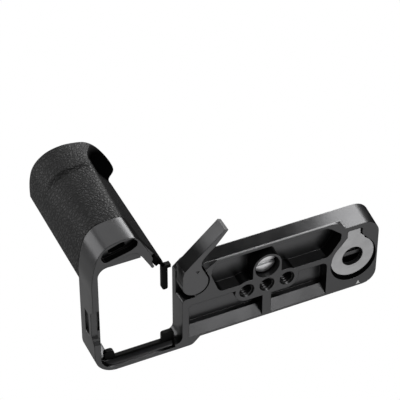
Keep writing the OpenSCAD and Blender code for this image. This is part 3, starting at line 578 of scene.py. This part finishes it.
def facedOut(mesh):
    # the skin closes on itself, so its faces can be turned outwards together
    bm = bmesh.new()
    bm.from_mesh(mesh)
    bmesh.ops.recalc_face_normals(bm, faces=bm.faces)
    bm.to_mesh(mesh)
    bm.free()
    return mesh


cover = putPiece("handleSkin", facedOut(meshFrom("handleSkin", *handleSkin(handle))), "frame",
                 finishes["skin"], 42, ("handle_cover",))
print("handle skin made")

thread = {"minor": 2.6, "root": 3.12, "major": 3.15, "pitch": 1.27, "around": 72, "perTurn": 14, "fade": 0.6,
          "flank": 2.6, "flat": 0.15, "mouth": 0.07, "holes": [(-9, 9.6), (0, 9.6), (9, 9.6)],
          "low": -8.75, "high": -1.97, "steep": 0.2, "near": 0.03}


def threadWave(turn, z, pitch):
    # share of the thread's depth at an angle (in turns) and height: a sharp flank each way with a flat crest
    phase = np.mod(z / pitch - turn, 1)
    return np.clip((0.5 - np.abs(phase - 0.5)) * thread["flank"] - thread["flat"], 0, 1)


def holeThread(at, z0, z1):
    # cylinder grid of angle x height, its radius pushed out from the bore by the thread's wave
    turns = np.linspace(0, 1, thread["around"], endpoint=False)[:, None]
    z = np.linspace(z0, z1, int((z1 - z0) / thread["pitch"] * thread["perTurn"]))[None]
    fade = step01((z - z0) / thread["fade"]) * step01((z1 - z) / thread["fade"])
    r = thread["minor"] + (thread["root"] - thread["minor"]) * threadWave(turns, z, thread["pitch"]) * fade
    r = np.where((z == z.min()) | (z == z.max()), thread["minor"] + thread["mouth"], r)
    angle = 2 * np.pi * turns
    points = np.stack([at[0] + r * np.cos(angle), at[1] + r * np.sin(angle), np.broadcast_to(z, r.shape)], -1)
    return points.reshape(-1, 3), gridQuads(r.shape[0], r.shape[1], wrapRows=True, flip=True)


# A hair of slab that stands proud where the front meets the right corner is laid flush
seamLip = {"at": (34.65, -10.1, -3.2), "near": (0.08, 0.03, 0.03), "flush": -9.17}


def plateBody():
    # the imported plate, with threads in place of its three smooth bores, whose faces are those that stand
    # steep and lie near the bore's radius
    points, triangles = packedArrays("plate_frame")
    seam = (np.abs(points - seamLip["at"]) < seamLip["near"]).all(1)
    points[seam, 1] = seamLip["flush"]
    a, b, c = (points[triangles[:, k]] for k in range(3))
    face = np.cross(b - a, c - a)
    upright = np.abs(face[:, 2]) < thread["steep"] * np.linalg.norm(face, axis=1)
    keep = np.ones(len(triangles), bool)
    for spot in thread["holes"]:
        away = np.hypot(points[:, 0] - spot[0], points[:, 1] - spot[1])
        keep &= ~(upright & (np.abs(away[triangles] - thread["minor"]) < thread["near"]).all(1))
    faces = [triangles[keep]]
    for spot in thread["holes"]:
        more, quads = holeThread(spot, thread["low"], thread["high"])
        faces.append(quads + len(points))
        points = np.vstack([points, more])
    return points, faces


# Faces in an area's box that lean along its direction take its finish. Most of it is painted shade on faces
# turned from the lamps: the lining's black over the handle's free flank and the hollow of its hook, two less
# glossy copies of the skin as it turns into the flank, and a far darker copy of the anodising on the arm's
# tip; the steps under the handle's corner take the same black
shadeAreas = {
    "plate": [
        {"finish": "liner", "low": (-57, -36, -9.45), "high": (-39, -8.5, 4),
         "along": (0.89, -0.45, 0), "least": 0.93},
        {"finish": "liner", "low": (-47, -16, -2), "high": (-39, -9, 4), "along": (0, 0, -1), "least": -1}],
    "arm": [
        {"finish": "armTipShade", "low": (-20, -28, -10), "high": (-16, -24, -2),
         "along": (0.36, -0.93, 0), "least": 0.97}],
    "cover": [
        {"finish": "skinHalfShade", "low": (-58, -38, 3), "high": (-34, -8, 52),
         "along": (0.87, -0.5, 0), "least": 0.86},
        {"finish": "skinShade", "low": (-58, -38, 3), "high": (-34, -8, 52),
         "along": (0.87, -0.5, 0), "least": 0.95},
        {"finish": "liner", "low": (-60, -40, 41), "high": (-36, -8, 57.5),
         "along": (0.35, -0.2, -0.9), "least": 0.42}],
}


# each area's finish goes on its faces: painted shade by the way the faces turn
def paintShadeFaces(mesh, areas):
    # a later area wins where two overlap
    centres, normals = (np.empty(len(mesh.polygons) * 3) for _ in range(2))
    mesh.polygons.foreach_get("center", centres)
    mesh.polygons.foreach_get("normal", normals)
    centres, normals = centres.reshape(-1, 3) / mm, normals.reshape(-1, 3)
    slots = np.zeros(len(centres), np.int32)
    for area in areas:
        finish = finishes[area["finish"]]
        if finish.name not in mesh.materials:
            mesh.materials.append(finish)
        inside = ((centres > area["low"]) & (centres < area["high"])).all(1)
        slots[inside & (normals @ np.array(area["along"]) > area["least"])] = mesh.materials.find(finish.name)
    mesh.polygons.foreach_set("material_index", slots)


plate = putPiece("plateBody", meshFrom("plateBody", *plateBody()), "frame",
                 finishes["plate"], 28, ("plate_frame",))
paintShadeFaces(plate.data, shadeAreas["plate"])
paintShadeFaces(cover.data, shadeAreas["cover"])
evenShading(plate)
arm = softTwin("swing_arm", "swingArm", "arm", finishes["arm"], 26)
paintShadeFaces(arm.data, shadeAreas["arm"])
print("plate and arm made")


def offsetRing(outline, inset):
    # each corner moves inwards along the mitre of its two edges
    p = np.asarray(outline, float)
    e1, e2 = p - np.roll(p, 1, 0), np.roll(p, -1, 0) - p
    n1, n2 = (np.stack([e[:, 1], -e[:, 0]], 1) / np.linalg.norm(e, axis=1)[:, None] for e in (e1, e2))
    return p - (n1 + n2) / (1 + (n1 * n2).sum(1))[:, None] * inset


def stacked(outline, levels):
    # one ring of the outline for each level (z, inset), joined as a grid and closed at both ends
    rings = [np.column_stack([offsetRing(outline, inset), np.full(len(outline), z)]) for z, inset in levels]
    n, k = len(outline), len(levels)
    ends = [np.arange(n)[::-1][None], ((k - 1) * n + np.arange(n))[None]]
    return np.vstack(rings), [gridQuads(k, n, wrapColumns=True), *ends]


def joined(parts):
    points, faces, count = [], [], 0
    for p, f in parts:
        points.append(p)
        faces += [np.asarray(rows) + count for rows in f]
        count += len(p)
    return np.vstack(points), faces


screw = {"head": 4.8, "face": -6.8, "slotFloor": -5.7, "headTop": -3.71, "slot": 1.5, "soft": 0.22,
         "stud": 3.175, "groove": 2.4, "grooveFrom": -1.3, "grooveTo": -0.5, "tip": 4.8, "tipRound": 0.6,
         "around": 96, "bowSteps": 40, "threadSteps": 90, "softMid": 0.07, "overlap": 0.02, "shoulder": 0.15,
         "sunk": 0.1, "lip": 0.1, "step": 0.01, "fade": 0.5}


def mountScrew(s):
    # head: a full disc under two half moons beside the slot; stud: radius as a function of angle and height
    a0 = math.asin(s["slot"] / 2 / s["head"])
    bow = np.linspace(a0, math.pi - a0, s["bowSteps"])
    moon = np.stack([s["head"] * np.cos(bow), s["head"] * np.sin(bow)], 1)
    whole = np.linspace(0, 2 * math.pi, s["around"], endpoint=False)
    disc = np.stack([s["head"] * np.cos(whole), s["head"] * np.sin(whole)], 1)
    rise = [(s["face"], s["soft"]), (s["face"] + s["softMid"], s["softMid"]), (s["face"] + s["soft"], 0.0),
            (s["slotFloor"] + s["overlap"], 0.0)]
    parts = [stacked(moon, rise), stacked(-moon, rise),
             stacked(disc, [(s["slotFloor"], 0.0), (s["headTop"] - s["shoulder"], 0.0),
                            (s["headTop"], s["shoulder"])])]
    turns = np.linspace(0, 1, s["around"], endpoint=False)[:, None]
    neck = [s["grooveFrom"] - s["lip"], s["grooveFrom"], s["grooveFrom"] + s["step"],
            s["grooveTo"] - s["step"]]
    z = np.concatenate([[s["headTop"] - s["sunk"]], neck,
                        np.linspace(s["grooveTo"], s["tip"], s["threadSteps"])])[None]
    edge = s["stud"] - s["lip"]
    smooth = np.interp(z, [s["face"], *neck, s["grooveTo"], s["tip"] - s["tipRound"], s["tip"]],
                       [s["stud"], s["stud"], edge, s["groove"], s["groove"], edge, s["stud"],
                        s["stud"] - s["tipRound"]])
    depth = (thread["major"] - thread["minor"]) * threadWave(turns, z, thread["pitch"])
    depth = depth * step01((z - s["grooveTo"]) / s["fade"])
    threaded = np.maximum(np.minimum(smooth, thread["major"]) - depth, thread["minor"] - s["lip"])
    r = np.minimum(np.where(z >= s["grooveTo"], threaded, smooth), smooth)
    angle = 2 * np.pi * turns
    points = np.stack([r * np.cos(angle), r * np.sin(angle), np.broadcast_to(z, r.shape)], -1).reshape(-1, 3)
    at = np.arange(len(points)).reshape(r.shape)
    parts.append((points, [gridQuads(r.shape[0], r.shape[1], wrapRows=True, flip=True)[:, ::-1],
                           at[::-1, 0][None], at[:, -1][None]]))
    return joined(parts)


putPiece("mountScrew", meshFrom("mountScrew", *mountScrew(screw)), "screw", finishes["screw"],
         40, ("camera_screw",))

coil = {"turns": 6.5, "wire": 0.09, "radius": 0.58, "low": -6.45, "high": -4.2, "at": (-31.6, -2.8),
        "ring": 4.2, "direction": -120, "stations": 170, "sides": 10}


def springCoil(c):
    # tube round a helix: station along the helix x angle round the wire, with closed ends
    n, k = c["stations"], c["sides"]
    u = np.linspace(0, 1, n)
    turn = 2 * np.pi * c["turns"] * u
    cx = c["at"][0] + c["ring"] * math.cos(math.radians(c["direction"]))
    cy = c["at"][1] + c["ring"] * math.sin(math.radians(c["direction"]))
    middle = np.stack([cx + c["radius"] * np.cos(turn), cy + c["radius"] * np.sin(turn),
                       c["low"] + c["wire"] + (c["high"] - c["low"] - 2 * c["wire"]) * u], 1)
    out = np.stack([np.cos(turn), np.sin(turn), np.zeros_like(turn)], 1)
    ring = np.linspace(0, 2 * np.pi, k, endpoint=False)
    points = middle[:, None] + c["wire"] * (np.cos(ring)[None, :, None] * out[:, None]
                                            + np.sin(ring)[None, :, None] * np.array([0, 0, 1.0]))
    at = np.arange(n * k).reshape(n, k)
    return points.reshape(-1, 3), [gridQuads(n, k, wrapColumns=True), at[0][::-1][None], at[-1][None]]


putPiece("springCoil", meshFrom("springCoil", *springCoil(coil)), "arm", finishes["fitting"],
         60, ("detent_spring",))
print("screw and spring made")

rubberEdge = {"side_foot": ("sideFoot", 0.22), "rail_pad": ("railPad", 0.2)}
for node, (name, width) in rubberEdge.items():
    softTwin(node, name, "frame", finishes["rubber"], 32, edge=width)
softTwin("handle_liner", "handleLiner", "frame", finishes["liner"], 30)

pads = {"ribs": 1.5, "ribDepth": 0.12, "ribsFrom": 0.6, "up": 0.2, "under": -0.78, "edgeDrop": 0.18,
        "edgeRound": 0.2, "hem": (0, 0.02, 0.08, 0.2, 0.5),
        "finer": (6, 2),  # grid lines for each mm of x and y
        "left": (-34, 8.2, -8, 22), "right": (12, -6.6, 46, 21)}


def seatPad(box):
    # top: a grid of x and y, with fine ribs that fade at the border; the sides drop to the pocket's floor
    x0, y0, x1, y1 = box
    hem = np.array(pads["hem"])
    u, v = (np.concatenate([hem, np.linspace(1, long - 1, int(long * finer)), long - hem[::-1]])
            for long, finer in zip((x1 - x0, y1 - y0), pads["finer"]))
    gx, gy = np.meshgrid(u, v, indexing="ij")
    border = np.minimum(np.minimum(gx, x1 - x0 - gx), np.minimum(gy, y1 - y0 - gy))
    bend = 1 - np.clip(border / pads["edgeRound"], 0, 1)
    drop = pads["edgeDrop"] * (1 - np.sqrt(np.clip(1 - bend ** 2, 0, 1)))
    ribs = 0.5 - 0.5 * np.cos(2 * np.pi * gx / pads["ribs"])
    z = pads["up"] - drop - pads["ribDepth"] * ribs * step01((border - pads["ribsFrom"]) / pads["ribsFrom"])
    top = np.stack([x0 + gx, y0 + gy, z], -1)
    n, m = gx.shape
    at = np.arange(n * m).reshape(n, m)
    rim = np.concatenate([at[:, 0], at[-1, 1:], at[-2::-1, -1], at[0, -2:0:-1]])
    low = top.reshape(-1, 3)[rim] * [1, 1, 0] + [0, 0, pads["under"]]
    k = len(rim)
    below = n * m + np.arange(k)
    sides = np.stack([rim, below, np.roll(below, -1), np.roll(rim, -1)], 1)
    return np.vstack([top.reshape(-1, 3), low]), [gridQuads(n, m, flip=True), sides, below[::-1][None]]


for side in ("left", "right"):
    name = "seatPad" + side.capitalize()
    putPiece(name, meshFrom(name, *seatPad(pads[side])), "frame", finishes["rubber"], 35,
             ("seat_pad_" + side,))
print("rubber pieces made")

plainNodes = {"key_disc": "key", "arm_pivot_screw": "fitting", "arm_washer": "fitting",
              "detent_ball": "fitting", "detent_spring": "fitting", "screw_retainer": "fitting",
              "key_magnet_left": "magnet", "key_magnet_right": "magnet", "plate_frame": "plate",
              "handle_cover": "skin", "handle_liner": "liner", "side_foot": "rubber", "rail_pad": "rubber",
              "seat_pad_left": "rubber", "seat_pad_right": "rubber", "camera_screw": "screw",
              "swing_arm": "arm"}
for node, finish in plainNodes.items():
    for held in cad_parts[node].material_slots:
        held.material = finishes[finish]
print("packed pieces finished")

studio = {
    "seen": 1.0, "glossy": 0.012, "diffuse": 0.1,  # what the world shows to each kind of ray
    "floor": (0.82, 0.82, 0.82, 1), "floorHalf": 2.5, "floorBelow": 0.00002,  # in metres
    "cards": ("endBox", "frontLow"),  # small lamps that only glossy faces see
    "lamps": {  # place in mm, what it faces in mm, width and height in mm, radiance
        "under": ((140, 250, -410), (0, 0, -9), 460, 420, 0.84),
        "keyRight": ((235, -215, 350), (-60, -30, 0), 290, 220, 6.0),
        "keyLeft": ((-395, -80, 350), (-60, -30, 0), 370, 190, 2.4),
        "frontFill": ((-135, -380, 350), (-60, -30, 0), 380, 260, 1.15),
        "sideBox": ((-260, 320, 330), (-75, 0, 0), 330, 330, 0.36),
        "endBox": ((74, -66, 12), (96, -10, -4), 52, 44, 6.0),
        "frontLow": ((138, -277, -287), (0, 20, -7), 120, 110, 4.3),
        "above": ((-160, 60, 600), (0, 0, 20), 300, 300, 1.0),
    },
}


def lightWorld(s):
    world = bpy.data.worlds.new("studioWorld")
    bpy.context.scene.world = world
    world.use_nodes = True
    tree = world.node_tree
    tree.nodes.clear()
    ray = tree.nodes.new("ShaderNodeLightPath").outputs
    matt = rampTo(tree, ray["Is Diffuse Ray"], 0.0, 1.0, s["glossy"], s["diffuse"], "LINEAR")
    strength = rampTo(tree, ray["Is Camera Ray"], 0.0, 1.0, matt, s["seen"], "LINEAR")
    shown = addNode(tree, "ShaderNodeBackground", {"Color": (1, 1, 1, 1), "Strength": strength})
    tree.links.new(shown.outputs[0], tree.nodes.new("ShaderNodeOutputWorld").inputs[0])


def hangLamp(name, place, towards, width, height, radiance):
    # a lamp's power is its radiance times pi times its area
    lamp = bpy.data.objects.new(name, bpy.data.lights.new(name, "AREA"))
    bpy.context.scene.collection.objects.link(lamp)
    lamp.data.shape, lamp.data.size, lamp.data.size_y = "RECTANGLE", width * mm, height * mm
    lamp.data.energy = radiance * math.pi * width * height * mm * mm
    lamp.location = [v * mm for v in place]
    lamp.visible_camera = False
    way = np.array(towards, float) - np.array(place, float)
    across = np.cross(way, [0, 0, 1.0])
    up = np.cross(across, way)
    axes = [across / np.linalg.norm(across), up / np.linalg.norm(up), -way / np.linalg.norm(way)]
    turn = [[float(axes[c][r]) for c in range(3)] for r in range(3)]
    lamp.rotation_euler = Matrix(turn).to_euler()
    return lamp


def layFloor(s):
    half, z = s["floorHalf"], float(cadBox[0][2]) - s["floorBelow"]
    mesh = bpy.data.meshes.new("floor")
    corners = [(-half, -half, z), (half, -half, z), (half, half, z), (-half, half, z)]
    mesh.from_pydata(corners, [], [(0, 1, 2, 3)])
    floor = bpy.data.objects.new("floor", mesh)
    bpy.context.scene.collection.objects.link(floor)
    material = bpy.data.materials.new("paleFloor")
    material.use_nodes = True
    tree = material.node_tree
    shader = tree.nodes["Principled BSDF"]
    shader.inputs["Base Color"].default_value = s["floor"]
    shader.inputs["Roughness"].default_value = 0.9
    shader.inputs["Specular IOR Level"].default_value = 0.0
    clear = tree.nodes.new("ShaderNodeBsdfTransparent")
    side = tree.nodes.new("ShaderNodeNewGeometry").outputs["Backfacing"]  # seen from below the floor is clear
    mixed = addNode(tree, "ShaderNodeMixShader", {0: side, 1: shader.outputs[0], 2: clear.outputs[0]})
    tree.links.new(mixed.outputs[0], tree.nodes["Material Output"].inputs[0])
    mesh.materials.append(material)
    floor.visible_diffuse = floor.visible_glossy = floor.visible_transmission = floor.visible_shadow = False


lightWorld(studio)
for name, lampRow in studio["lamps"].items():
    hangLamp(name, *lampRow).visible_diffuse = name not in studio["cards"]
layFloor(studio)
print("studio lit")
